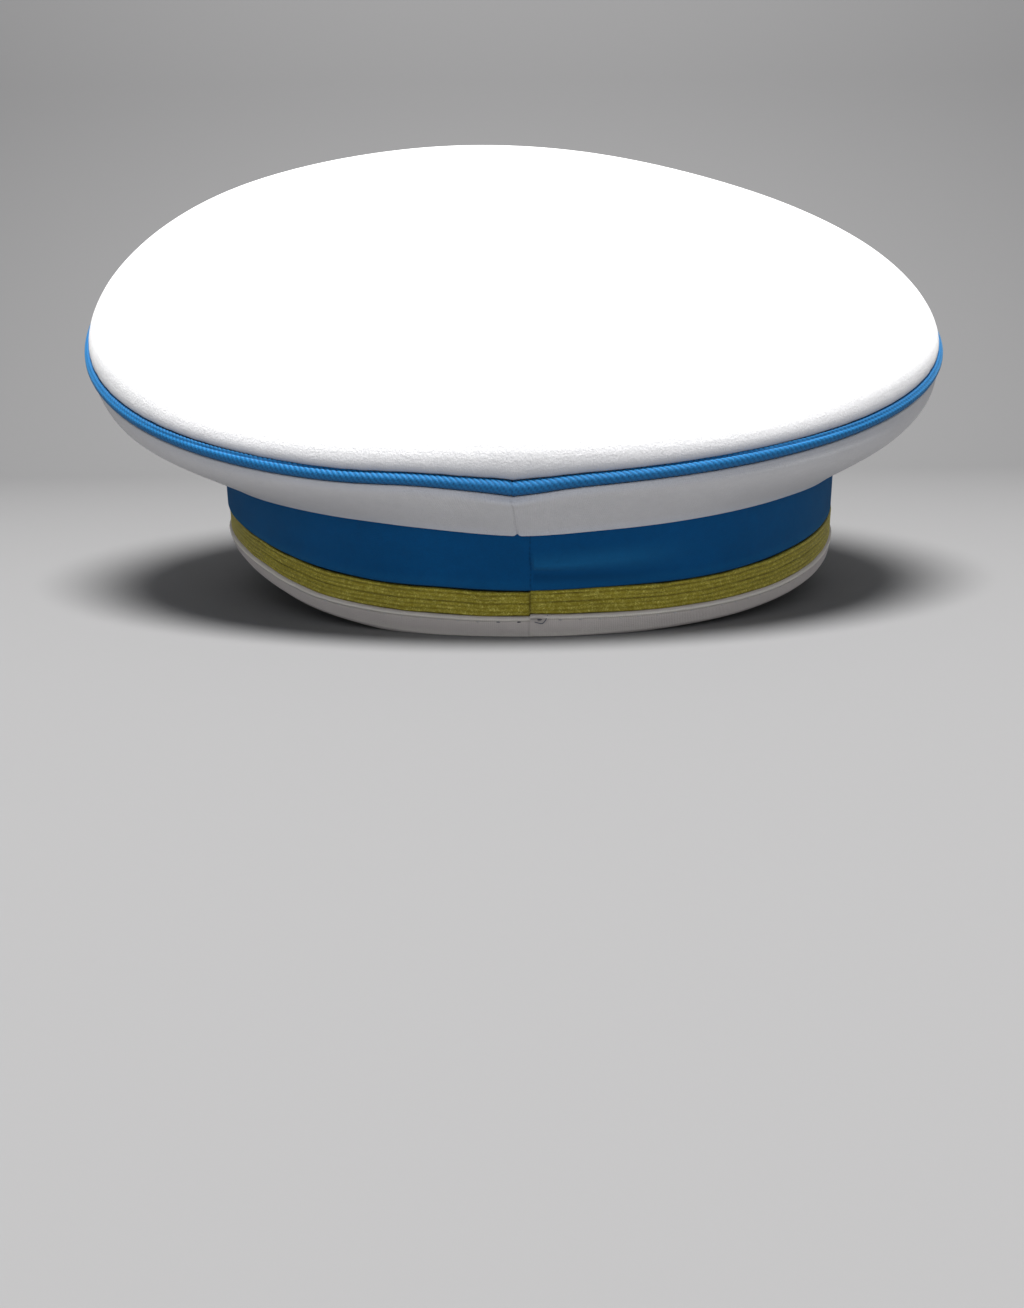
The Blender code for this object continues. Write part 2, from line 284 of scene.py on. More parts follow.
def onRows(points, values):
    # a mark with these values on the first rows of a surface, and 0 on the rows after them
    spread = np.zeros(points.shape[:2])
    spread[:len(values)] = values
    return spread


def addPiece(name, points, faces, marks, cloth=None):
    # a smooth mesh, with the marks that its material reads at each point and clothMap at face corners
    mesh = bpy.data.meshes.new(name)
    mesh.from_pydata(points.tolist(), [], faces)
    if cloth is not None:
        mesh.uv_layers.new(name="clothMap").uv.foreach_set("vector", cloth.astype(np.float32).ravel())
    for label, values in marks.items():
        attribute = mesh.attributes.new(label, "FLOAT", "POINT")
        attribute.data.foreach_set("value", values.astype(np.float32).ravel())
    mesh.shade_smooth()
    piece = bpy.data.objects.new(name, mesh)
    bpy.context.scene.collection.objects.link(piece)
    print(f"{name}: {len(points)} points, {len(faces)} faces")
    return piece


def addSurface(name, points, marks, poles=()):
    # quads between neighbouring rows and columns; columns close round the cap, rows close too or end in a
    # fan to each pole. clothMap holds the share of the way round and the metres across.
    rows, columns = points.shape[:2]
    row, column = np.meshgrid(np.arange(rows - bool(poles)), np.arange(columns), indexing="ij")
    cornerRow = np.stack([row, row, row + 1, row + 1], -1).reshape(-1, 4)
    cornerColumn = np.stack([column, column + 1, column + 1, column], -1).reshape(-1, 4)
    faces = cornerRow % rows * columns + cornerColumn % columns
    flat = points.reshape(-1, 3)
    share = runningLength(points[rows // 4])
    across = runningLength(points[:, columns // 2])
    cloth = np.stack([share[cornerColumn] / share[-1], across[cornerRow]], -1)
    area = np.cross(flat[faces[:, 2]] - flat[faces[:, 0]], flat[faces[:, 3]] - flat[faces[:, 1]])
    turned = 1 if (flat[faces[:, 0]] * area).sum() > 0 else -1  # so that faces look outwards
    allFaces, allCloth = faces[:, ::turned].tolist(), [cloth[:, ::turned].reshape(-1, 2)]
    ring = np.arange(columns)
    for end in range(len(poles)):
        first, second = (ring, np.roll(ring, -1)) if end else (np.roll(ring, -1), ring)
        base = (rows - 1) * columns * end
        fan = np.stack([base + first, base + second, np.full(columns, len(flat) + end)], 1)
        fanCloth = np.full((columns, 3, 2), across[(rows - 1) * end])
        fanCloth[..., 0] = (share[:-1] / share[-1])[:, None]
        allFaces += fan[:, ::turned].tolist()
        allCloth.append(fanCloth.reshape(-1, 2))
    everyPoint = np.concatenate([flat, np.reshape(poles, (-1, 3))])
    everyMark = {}
    for label, values in marks.items():
        spread = np.broadcast_to(values, (rows, columns)).ravel()
        everyMark[label] = np.concatenate([spread, np.zeros(len(poles))])
    return addPiece(name, toRow(everyPoint), allFaces, everyMark, np.concatenate(allCloth))


def addTubes(name, rings, soiled):
    # separate closed tubes from points [tube, ring, corner]: quads between rings, and one face at each end
    tubes, count, corners = rings.shape[:3]
    ring, corner = np.meshgrid(np.arange(count - 1), np.arange(corners), indexing="ij")
    after = (corner + 1) % corners
    cornerRow = np.stack([ring, ring + 1, ring + 1, ring], -1)
    quad = (cornerRow * corners + np.stack([corner, corner, after, after], -1)).reshape(-1, 4)
    start = (np.arange(tubes) * count * corners)[:, None, None]
    around = np.arange(corners)
    ends = np.stack([around, (count - 1) * corners + around[::-1]])
    faces = (start + quad).reshape(-1, 4).tolist() + (start + ends).reshape(-1, corners).tolist()
    marks = {"seam": np.broadcast_to(soiled, rings.shape[:3])}
    return addPiece(name, toRow(rings.reshape(-1, 3)), faces, marks)


def dress(piece, material, node):
    # gives a piece its finish and its place in the frame
    piece.data.materials.append(material)
    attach(piece, "root")
    if node:
        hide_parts(node)
    return piece


# Shader helpers: a node with its properties, a value or a link into one socket or several, one Math node

def put(tree, kind, **settings):
    node = tree.nodes.new(kind)
    for name, value in settings.items():
        setattr(node, name, value)
    return node


def feed(tree, socket, value):
    if isinstance(value, bpy.types.NodeSocket):
        tree.links.new(value, socket)
    else:
        socket.default_value = value


def fill(tree, node, values):
    for label, value in values.items():
        feed(tree, node.inputs[label], value)
    return node.outputs


def calc(tree, operation, *values):
    node = put(tree, "ShaderNodeMath", operation=operation)
    for socket, value in zip(node.inputs, values):
        feed(tree, socket, value)
    return node.outputs[0]


def blendColour(tree, share, first, second):
    node = put(tree, "ShaderNodeMix", data_type="RGBA")
    return fill(tree, node, {"Factor": share, "A": first, "B": second})["Result"]


def noise(tree, vector, scale, detail=3.0, roughness=0.6):
    values = {"Vector": vector, "Scale": scale, "Detail": detail, "Roughness": roughness}
    return fill(tree, put(tree, "ShaderNodeTexNoise"), values)["Fac"]


def newGroup(name, inputs, outputs):
    # a node group with named float or vector sockets; returns it with its input and output nodes
    group = bpy.data.node_groups.new(name, "ShaderNodeTree")
    for label, value in inputs.items():
        kind = "NodeSocketVector" if value is None else "NodeSocketFloat"
        socket = group.interface.new_socket(name=label, in_out="INPUT", socket_type=kind)
        if value is not None:
            socket.default_value = value
    for label in outputs:
        group.interface.new_socket(name=label, in_out="OUTPUT", socket_type="NodeSocketFloat")
    return group, put(group, "NodeGroupInput").outputs, put(group, "NodeGroupOutput")


def weaveGroup():
    # Height: |sin(pi (along + lean across))| for the ribs, cut by |sin(pi across)| for crossing threads.
    # Gap: near 1 in the valleys between the ribs.
    inputs = {"Along": 0.0, "Across": 0.0, "Lean": 0.0, "Cross": 0.4}
    group, given, made = newGroup("threadWeave", inputs, ["Height", "Gap"])
    leaning = calc(group, "MULTIPLY_ADD", given["Across"], given["Lean"], given["Along"])
    rib = calc(group, "ABSOLUTE", calc(group, "SINE", calc(group, "MULTIPLY", leaning, pi)))
    thread = calc(group, "ABSOLUTE", calc(group, "SINE", calc(group, "MULTIPLY", given["Across"], pi)))
    cut = calc(group, "MULTIPLY", calc(group, "SUBTRACT", 1.0, thread), given["Cross"])
    height = calc(group, "MULTIPLY", rib, calc(group, "SUBTRACT", 1.0, cut))
    gap = calc(group, "POWER", calc(group, "SUBTRACT", 1.0, rib), 2.0)
    fill(group, made, {"Height": height, "Gap": gap})
    return group


def napGroup():
    # Height: fine noise plus half as much of a coarser one, as brushed fibres stand.
    # Patch: broad soft noise for slight changes of shade.
    inputs = {"Vector": None, "Fibre": 2600.0, "Clump": 420.0, "Patch": 45.0}
    group, given, made = newGroup("clothNap", inputs, ["Height", "Patch"])
    fine = noise(group, given["Vector"], given["Fibre"], 4.0, 0.7)
    coarse = noise(group, given["Vector"], given["Clump"])
    height = calc(group, "MULTIPLY_ADD", coarse, 0.5, fine)
    fill(group, made, {"Height": height, "Patch": noise(group, given["Vector"], given["Patch"])})
    return group


weave = weaveGroup()
nap = napGroup()


def placeGroup(tree, group, **values):
    return fill(tree, put(tree, "ShaderNodeGroup", node_tree=group), values)


def newMaterial(name):
    material = bpy.data.materials.new(name)
    material.use_nodes = True
    return material, material.node_tree, material.node_tree.nodes["Principled BSDF"]


def objectPlace(tree):
    return put(tree, "ShaderNodeTexCoord").outputs["Object"]


def weaveOver(tree, threadsRound, threadPitch, lean, cross):
    # the weave laid on clothMap: so many threads round the cap, and one pitch from thread to thread across
    cloth = put(tree, "ShaderNodeSeparateXYZ")
    tree.links.new(put(tree, "ShaderNodeUVMap", uv_map="clothMap").outputs["UV"], cloth.inputs[0])
    along = calc(tree, "MULTIPLY", cloth.outputs["X"], float(threadsRound))
    across = calc(tree, "DIVIDE", cloth.outputs["Y"], threadPitch)
    return placeGroup(tree, weave, Along=along, Across=across, Lean=lean, Cross=cross)


def addBump(tree, shader, height, strength, distance):
    values = {"Strength": strength, "Distance": distance, "Height": height}
    fill(tree, shader, {"Normal": fill(tree, put(tree, "ShaderNodeBump"), values)["Normal"]})


def mark(tree, label):
    # a value that the piece's mesh carries, such as how deep in a seam a point lies, or how much painted
    # shade or painted highlight it gets
    return put(tree, "ShaderNodeAttribute", attribute_name=label).outputs["Fac"]


def clothMaterial(name, look):
    # woven cloth: thread ribs from clothMap, brushed fibres and patches from Object coordinates,
    # painted shade in the valleys between threads, darker in seams and where the seam mark paints shade,
    # lighter where the highlight mark paints highlights
    look = named({**clothBase, **look})
    material, tree, shader = newMaterial(name)
    threads = weaveOver(tree, look.threadsRound, look.threadPitch, look.lean, look.cross)
    fibres = placeGroup(tree, nap, Vector=objectPlace(tree), Fibre=look.fibre, Clump=look.clump)
    patch = calc(tree, "MULTIPLY_ADD", fibres["Patch"], look.patch, -0.5 * look.patch)
    tone = blendColour(tree, calc(tree, "ADD", 0.5, patch), look.dark, look.light)
    # painted highlight, in the cloth's highlight tone, where the piece's mark says
    tone = blendColour(tree, mark(tree, "worn"), tone, look.worn)
    # painted shade in the valleys between threads
    valley = calc(tree, "MULTIPLY", threads["Gap"], look.valley)
    speck = calc(tree, "MULTIPLY_ADD", fibres["Height"], -look.speck, look.speck)
    seam = calc(tree, "MULTIPLY", mark(tree, "seam"), look.seam)
    shade = calc(tree, "MAXIMUM", calc(tree, "ADD", valley, speck), seam)
    fill(tree, shader, {
        "Base Color": blendColour(tree, shade, tone, look.deep),
        "Roughness": calc(tree, "MULTIPLY_ADD", fibres["Height"], 0.12, look.rough - 0.09),
        "Sheen Weight": look.sheen,
        "Sheen Tint": look.sheenTint,
        "Sheen Roughness": look.sheenRough,
        "Specular IOR Level": look.gloss,
    })
    height = calc(tree, "MULTIPLY_ADD", threads["Height"], look.threadHeight, fibres["Height"])
    addBump(tree, shader, height, look.bump, look.bumpDepth)
    return material


# White crown top: brushed white cloth over a soft rounded edge
topLook = {
    "wall": 0.0018, "columns": 500,
    "waveDepth": 0.00035,  # long low waves of the cloth
    "wavesFrom": 0.001,  # they grow between these distances from the piping
    "wavesTo": 0.010,
    "puckerDepth": 0.00006,  # fine gathers beside the piping
    "puckerReach": 0.0045,
    "overlap": 0.0002,  # the edge comes down over the piping's top by this
    "tuckedIn": 0.0012,  # of the cloth is hidden there
    "shade": 0.95,  # painted shade greys it towards the piping
    "shadeReach": 0.0017,
    "shadeFaded": 0.70,  # less by this share at the sides, from one turn to the other
    "fadeFrom": 0.5, "fadeTo": 1.2, "dome": 0.0040, "domeRows": 46,
}
# Section of the soft edge: inset from the piping's middle as a share of the edge's height, and rise as a
# share of the way from the piping to the edge's top
topEdgeRows = [
    # inset, rise
    (0.150, -0.085),
    (0.080, -0.022),
    (0.020, 0.012),
    (0.002, 0.070),
    (0.009, 0.140),
    (0.031, 0.235),
    (0.072, 0.350),
    (0.136, 0.490),
    (0.245, 0.660),
    (0.430, 0.845),
    (0.880, 1.000),
]
# The inset as a share of that section's, by degrees from the rear seam
edgeReach = [
    # degrees, share
    (-180, 1.22),
    (-155, 1.10),
    (-125, 0.66),
    (-95, 0.66),
    (-65, 0.90),
    (-45, 1.00),
    (75, 1.00),
    (105, 0.82),
    (130, 0.74),
    (150, 0.98),
    (180, 1.22),
]


def crownTop():
    # outer sheet from the piping over the edge to the pole, and back along the inner sheet
    look, edge = named(topLook), cap.crownEdge
    turn = roundTurns(look.columns, 2.0, 0.25)
    base = pipingRadius(turn) + cap.fitGap - look.overlap
    section = throughRows(topEdgeRows, 6)
    share = np.linspace(1, 0.015, look.domeRows)[1:, None]
    inset = np.concatenate([section[:, :1], np.full(share.shape, section[-1, 0])]) * edge
    inset = inset * roundTable(edgeReach, turn, 1, 30)
    dome = edge + look.dome * (1 - share**2) + 0 * base
    rise = np.concatenate([base + section[:, 1:] * (edge - base), dome])
    shares = np.concatenate([np.ones((len(section), 1)), share])
    sheet = crownPoint(turn, inset, rise, shares)
    fromPiping = runningLength(sheet[:, 0])[:-1, None]
    waves = clothWaves(turn, shares * 3, 11, 2, 9, 2.5) * shares**2
    waves = waves * ease(fromPiping, look.wavesFrom, look.wavesTo)
    puckers = clothWaves(turn, fromPiping * 400, 12, 60, 150, 1.0)
    gathered = ease(fromPiping, 0.0005, 0.002) * np.exp(-fromPiping / look.puckerReach)
    sheet = pushOut(sheet, waves * look.waveDepth + puckers * gathered * look.puckerDepth)
    inner = innerSheet(sheet, look.wall, 32)
    fold = roundEdge(sheet[0], inner[0], sheet[0] - sheet[1], look.wall / 2, 6)
    points = np.concatenate([sheet[::-1], fold, inner])
    poles = [sheet[-1].mean(0), inner[-1].mean(0)]
    # painted shade: the edge is painted greyer towards the piping, where its fold turns under
    fade = 1 - look.shadeFaded * ease(np.abs(turn), look.fadeFrom, look.fadeTo)
    inSight = np.maximum(fromPiping[::-1] - look.tuckedIn, 0)
    paintedShade = look.shade * fade * np.exp(-inSight / look.shadeReach)
    return addSurface("crown_top_cloth", points, {"seam": onRows(points, paintedShade)}, poles)


# Piping: bias twill over a cord, with the narrow flange that shows above it
pipingLook = {
    "columns": 3900,
    "radius": 0.00148,  # thinner than its solid
    "seamFuller": 0.00012,  # fuller at the rear seam, over this turn
    "seamTurn": 0.06, "ribPitch": 0.00130, "ribDepth": 0.00022, "ribShade": 1.0,
    "lipAngle": 114.0,  # of the flange: degrees up from straight out, at the rear
    "lipTurnsDown": 46.0,  # lower by this at the sides
    "lipWidth": 14.0, "lipHeight": 0.00026, "lipShade": 0.45,
    "lipFlatter": 0.55,  # less high by this share at the sides
    "grooveBelow": 20.0,  # degrees below the flange
    "grooveWidth": 8.0, "grooveDepth": 0.00024, "grooveShade": 0.9,
    "jointTurn": -0.0025,  # where the two ends meet
    "jointWidth": 0.00016, "jointDepth": 0.00018, "jointShade": 0.6,
    "grime": 0.75,  # painted shade on its underside
}
# Where the cord is thinner, a little way to each side of the seam
thinPlaces = [
    # turn, width, depth
    (0.20, 0.12, 0.00008),
    (-0.28, 0.15, 0.00010),
]


def pipingRadius(turn):
    # radius + fuller bell(turn / width), less a bell for each thin place
    radius = pipingLook["radius"] + pipingLook["seamFuller"] * bell(turn / pipingLook["seamTurn"])
    for place, width, depth in thinPlaces:
        radius = radius - depth * bell((turn - place) / width)
    return radius


def crownPiping():
    # tube round the crown: radius = R + lip bell - groove bell + ribs,
    # where ribs = depth |sin(pi (along + across) / pitch)|
    look = named(pipingLook)
    outer = np.concatenate([np.arange(-105, 45, 20), np.arange(50, 134, 8)])
    degrees = np.concatenate([outer, [170.0, 212.0]])[:, None]
    angle = np.radians(degrees)
    turn = np.linspace(-pi, pi, look.columns, endpoint=False)[None, :]
    radius = pipingRadius(turn) - look.ribDepth
    along = runningLength(crownPoint(turn, 0.0, 0.0)[0])[:-1][None, :]
    fromJoint = along - np.interp(look.jointTurn, turn[0], along[0])
    fromRear = np.abs(turn)
    loose = ease(fromRear, 0.10, 0.45)  # the flange is drawn in near the rear seam
    openness = (0.25 + 0.75 * loose) * (1 - look.lipFlatter * ease(fromRear, 0.45, 0.90))
    lipAngle = look.lipAngle - look.lipTurnsDown * ease(fromRear, 0.15, 0.85)
    lip = look.lipHeight * bell((degrees - lipAngle) / look.lipWidth) * openness
    grooved = bell((degrees - lipAngle + look.grooveBelow) / look.grooveWidth) * openness
    visible = ease(degrees, -112, -95) * (1 - ease(degrees, 120, 134))
    rib = np.abs(np.sin(pi * (fromJoint + radius * angle) / look.ribPitch))
    joint = bell(fromJoint / look.jointWidth) * visible
    radii = radius + lip - look.grooveDepth * grooved - look.jointDepth * joint
    radii = radii + look.ribDepth * rib * visible * (1 - grooved)
    points = crownPoint(turn, -radii * np.cos(angle), radii * np.sin(angle))
    # painted shade: on the underside, in the groove, on the flange under the top's edge and in the valleys
    # between the ribs, besides the dark joint
    under = look.grime * ease(-degrees, -5, 50)
    shade = np.maximum(grooved * look.grooveShade, joint * look.jointShade)
    flange = look.lipShade * ease(degrees, lipAngle - 18, lipAngle) * (0.3 + 0.7 * loose)
    shade = np.maximum(shade, flange)
    shade = np.maximum(shade, under + (1 - under) * look.ribShade * (1 - rib) ** 1.3)
    return addSurface("crown_piping_twill", points, {"seam": shade})


# Side panel: two white quarters that flare from the band to the piping and meet at the rear seam
sideLook = {
    "wall": 0.0015,
    "edgeWall": 0.0006,  # thinner where its lower edge is laid over the band
    "tuckGap": 0.00012,  # to the piping
    "columns": 900,
    "edgeProud": 0.0008,  # lower edge, past the band's face
    "bulge": 0.0056,
    "rearFlatter": 0.82,  # less by this share at the rear
    "droop": 0.0012,
    "seamTop": -0.0040,  # turn of the seam at the piping
    "seamLow": -0.0410,  # turn of the seam at the band
    "seamRadius": 0.110,  # of the panel there, which makes turns into metres
    "seamWidth": 0.00026, "seamDepth": 0.00016, "seamSway": 0.00012,
    "rollHeight": 0.00012,  # of the cloth beside the seam
    "rollReach": 0.0025,
    "puffHeight": 0.00060,  # fullness under the piping, beside the seam
    "puffPlace": -0.0012, "puffWidth": 0.0070, "waveDepth": 0.00025,
    "notch": 0.00035,  # in the lower edge, at the seam
    "notchWidth": 0.0006,
    # painted highlight: how much lighter the cloth is painted under the piping, at the puff and at its
    # lower edge
    "cleanTop": 0.34, "cleanPuff": 0.30, "cleanLow": 0.30,
}


def sidePanel():
    # outer sheet = low ring + (high ring - low ring) share + bulge sin(pi share^power) along the band's
    # normal, flatter and fuller near the piping at the rear, then tucked in round the piping's underside
    look = named(sideLook)
    turn = roundTurns(look.columns, 14.0, 0.04)
    share = np.linspace(0, 1, 44)[:, None]
    lowTurn = turn + look.seamLow - look.seamTop
    fromSeam = (turn - look.seamTop) * look.seamRadius
    rear = np.maximum(np.cos(turn), 0) ** 3
    notch = look.notch * bell(fromSeam / look.notchWidth)
    lowHeight = bandLine(lowTurn, joinLine) + look.edgeWall / 2 + notch
    low = bandPoint(lowTurn, bandLook["flare"] + look.edgeProud, lowHeight, bandLook["lean"])
    reach = pipingRadius(turn) + look.tuckGap
    under = np.radians([-62.0, -78.0, -95.0, -112.0])[:, None]
    tucked = crownPoint(turn, -reach * np.cos(under), reach * np.sin(under))
    sheet = low + (tucked[0] - low) * share[..., None]
    level = bandPoint(turn, 1.0, 0.0) - bandPoint(turn, 0.0, 0.0)
    bulge = look.bulge * (1 - look.rearFlatter * rear) * np.sin(pi * share ** (1.2 + 1.5 * rear))
    sheet = sheet + level * bulge[..., None]
    sheet[..., 2] -= look.droop * (1 - rear) * np.sin(pi * share)
    waves = clothWaves(turn, share * 3, 21, 3, 16, 1.2) * np.sin(pi * share)
    puff = bell((fromSeam - look.puffPlace) / look.puffWidth) * bell((share - 0.86) / 0.09)
    sway = look.seamSway * (np.sin(7 * share) + 0.5 * np.sin(23 * share))
    seam = bell((fromSeam + sway) / look.seamWidth) * (1 - ease(share, 0.97, 1.0))
    roll = np.exp(-np.abs(fromSeam) / look.rollReach) * np.sin(pi * share)
    height = look.waveDepth * waves + look.puffHeight * puff
    height = height - look.seamDepth * seam + look.rollHeight * roll
    outer = np.concatenate([pushOut(sheet, height), tucked[1:]])
    thicker = ease(np.arange(len(outer)), 0, 7)[:, None]
    wall = look.edgeWall + (look.wall - look.edgeWall) * thicker
    points = closedSection(outer, innerSheet(outer, wall, 14), look.edgeWall / 2)
    shade = seam * (0.18 + 0.24 * np.sin(40 * share) ** 2)
    # painted highlight under the piping, at the puff and along the lower edge
    lighter = (look.cleanTop * rear + look.cleanPuff * puff) * bell((share - 0.94) / 0.08)
    lighter = lighter + look.cleanLow * bell(share / 0.12)
    marks = {"seam": onRows(points, shade), "worn": onRows(points, lighter)}
    return addSurface("side_panel_cloth", points, marks)


# Blue band: fine woollen cloth, its ends meeting at the rear seam, with a soft crease beside it
bandLook = {
    "wall": 0.0020, "columns": 900,
    "above": 0.0015,  # its hidden foot starts this far above the rim's fold
    "under": 0.0012,  # and its top goes this far up under the side panel
    "flare": 0.0015,  # above the braid the cloth stands this far out
    "lean": 0.0008,  # and is drawn towards +X by this
    "waveDepth": 0.00012,
    "seamPlace": 0.0007,  # of the seam, towards +X from the middle of the rear
    "seamLean": 0.016,  # and this much further for each metre up
    "seamSway": 0.00008, "seamWidth": 0.00024, "seamDepth": 0.00010, "seamShade": 0.50,
    "creaseHeight": 0.0062,  # of its crest above the braid, at the seam
    "creaseClimb": 0.045,  # and its rise for each metre along
    "creaseRise": 0.0042,  # height of its upper slope
    "creaseFall": 0.0012,  # height of the fall below the crest, at the seam
    "fallGrows": 0.12,  # and for each metre along
    "creaseDepth": 0.00110, "creaseReach": 0.042, "creaseRubbed": 0.95, "hollowShade": 0.32,
    "footRubbed": 0.35,  # lighter along a line above the braid
}


def blueBand():
    # upright sheet that steps out above the braid, less the seam's groove, plus the crease right of the
    # seam: depth (crest - 0.35 hollow)
    look = named(bandLook)
    turn = roundTurns(look.columns, 14.0, 0.04, -0.02)
    foot = bandLine(turn, foldLine) + look.above
    braidTop = bandLine(turn, braidHigh)
    top = bandLine(turn, joinLine) + look.under
    z = np.concatenate([
        foot + (braidTop - foot) * np.linspace(0, 1, 9)[:-1, None],
        braidTop + (top - braidTop) * np.linspace(0, 1, 60)[:, None],
    ])
    above = z - braidTop
    step = ease(above, -0.0002, 0.0008)
    along = -turn * cap.bandHalfWidth  # metres towards +X from the middle of the rear
    fromSeam = along - look.seamPlace - look.seamLean * above + look.seamSway * np.sin(z * 900)
    seam = bell(fromSeam / look.seamWidth) * step * (0.75 + 0.25 * np.sin(z * 5200))
    past = np.maximum(-fromSeam, 0)  # metres right of the seam
    right = ease(-fromSeam, 0.0, 0.0010) * (1 - ease(past / look.creaseReach, 0.35, 1.0))
    line = look.creaseHeight + look.creaseClimb * past
    fall = look.creaseFall + look.fallGrows * past
    crest = (1 - ease(above, line, line + look.creaseRise)) * ease(above, line - fall, line)
    hollowTop = line - fall - look.creaseFall
    hollow = ease(above, 0.0, hollowTop) * (1 - ease(above, hollowTop, line - 0.5 * fall))
    crease = right * (crest - 0.35 * hollow)
    waves = clothWaves(turn, z * 120, 31, 3, 22, 0.8)
    out = look.flare + look.waveDepth * waves + look.creaseDepth * crease
    out = out - look.seamDepth * seam
    lean = cap.lowLean + (look.lean - cap.lowLean) * step
    outer = bandPoint(turn, out * step, z, lean)
    inner = bandPoint(turn, -look.wall, z[::8])
    points = closedSection(outer, inner, 0.0004, 4)
    # painted shade in the crease's hollow, and a painted shadow in the slot above the braid, over the
    # band's foot behind it
    shade = np.maximum(seam * look.seamShade, look.hollowShade * right * hollow)
    shade = np.maximum(shade, 1 - ease(above, 0.00025, 0.00060))
    # painted highlight on the crease's crest, and a lighter line above the braid
    rubbed = look.creaseRubbed * right * crest
    rubbed = rubbed + look.footRubbed * bell((above - 0.0017) / 0.0010) * (1 - seam)
    marks = {"seam": onRows(points, shade), "worn": onRows(points, rubbed)}
    return addSurface("band_cloth", points, marks)


# Gold braid: lengthwise ribs of metallic thread, its ends butted at the rear
braidLook = {
    "columns": 2720, "thickness": 0.0011, "ribs": 6, "ribDepth": 0.00036,
    "deepPlaces": (0.50, 0.833),  # the two wider valleys, as shares of the braid's height
    "deepWidth": 0.06, "deepDepth": 0.0002, "valleyShade": 0.55, "deepShade": 0.28,
    "threadPitch": 0.00090, "threadDepth": 0.00007, "edgeSway": 0.00008,
    "endsPlace": 0.0012,  # where its ends meet, towards +X from the middle of the rear
    "endsStep": 0.0005,  # one end sits higher by this
    "endsFade": 0.024, "endsWidth": 0.00022, "endsDepth": 0.0002, "endsShade": 0.45,
    "endsSoiled": 0.24,  # over this width
    "soiledWidth": 0.0012,
}


def braidEdge(turn, column):
    # the band's line, a step higher past the place where the braid's ends meet: step exp(-distance / fade)
    past = -turn * cap.bandHalfWidth - braidLook["endsPlace"]
    step = ease(-past, -0.0001, 0.0001) * np.exp(-np.abs(past) / braidLook["endsFade"])
    return bandLine(turn, column) + braidLook["endsStep"] * step


def goldBraid():
    # outer face: thickness - ribDepth (1 - |sin(pi ribs v)|^0.7) + thread relief, v from the lower to the
    # upper edge, threads slanting one way on one rib and the other way on the next
    look = named(braidLook)
    turn = np.linspace(-pi, pi, look.columns, endpoint=False)[None, :]
    v = np.linspace(0, 1, 27)[:, None]
    along = runningLength(bandPoint(turn, look.thickness, 0.0)[0])[:-1][None, :]
    along = along - np.interp(-look.endsPlace / cap.bandHalfWidth, turn[0], along[0])
    place = v + 0.012 * clothWaves(turn, v * 4, 42, 10, 60, 2.0)
    rib = np.abs(np.sin(pi * look.ribs * place))
    sway = np.where(np.floor(np.clip(place, 0, 0.999) * look.ribs) % 2 == 0, 1.0, -1.0)
    thread = np.abs(np.sin(pi * (along / look.threadPitch + sway * v * look.ribs * 0.5))) * rib
    deep = sum(bell((place - middle) / look.deepWidth) for middle in look.deepPlaces)
    ends = bell(along / look.endsWidth)
    out = look.thickness - look.ribDepth * (1 - rib ** 0.7) + look.threadDepth * (thread - 0.5)
    out = out - look.deepDepth * deep - look.endsDepth * ends
    low, high = braidEdge(turn, braidLow), braidEdge(turn, braidHigh)
    z = low + (high - low) * v + look.edgeSway * clothWaves(turn, 0.0, 41, 8, 40, 0.0)
    outer = bandPoint(turn, cap.fitGap + out, z, cap.lowLean)
    back = bandPoint(turn, cap.fitGap, np.stack([z[-1], z[0]]), cap.lowLean)
    points = np.concatenate([outer, back])
    # painted shade in the valleys between the ribs, darkest in the two wide ones, and a painted shadow
    # along the lower edge; the dark joint and the soil where the ends meet are the braid's own
    valleys = (1 - rib) ** 1.5 * (look.valleyShade + look.deepShade * deep)
    soiled = look.endsShade * ends + look.endsSoiled * bell(along / look.soiledWidth)
    shade = np.maximum(np.maximum(valleys, soiled), 0.6 * (1 - ease(v, 0.0, 0.10)))
    return addSurface("gold_braid_ribs", points, {"seam": onRows(points, shade)})


# Rim binding: white tape folded over the band's lower edge, with a raised ridge under the braid
rimLook = {
    "columns": 900, "height": 0.0055, "inside": 0.0060, "cloth": 0.0012,
    "belowFold": 0.0002,  # its lower face hangs this far under the fold's line
    "ridgeBelow": 0.00060,  # middle of the ridge below the tape's upper edge
    "ridgeWidth": 0.00042, "ridgeProud": 0.00045,
    "stitchBelow": 0.00125,  # the row of stitches, likewise
    "stitchWidth": 0.00022, "stitchDepth": 0.00009, "stitchShade": 0.10,
    "wrinkleDepth": 0.00005, "seamPlace": 0.0015, "seamWidth": 0.00022, "seamDepth": 0.00014,
    "seamShade": 0.22,
    "smudge": 0.50,  # beside the seam: its shade, and its middle past the seam and below the edge
    "smudgePast": 0.0018, "smudgeBelow": 0.0010,
    "rubbedBelow": 0.0050,  # painted light on the fold's lower part, centred here
    "rubbed": 0.60,
    "cornerDrop": 0.0011,  # the fold's corners start this far above its line
    "bandWall": 0.0022,
}


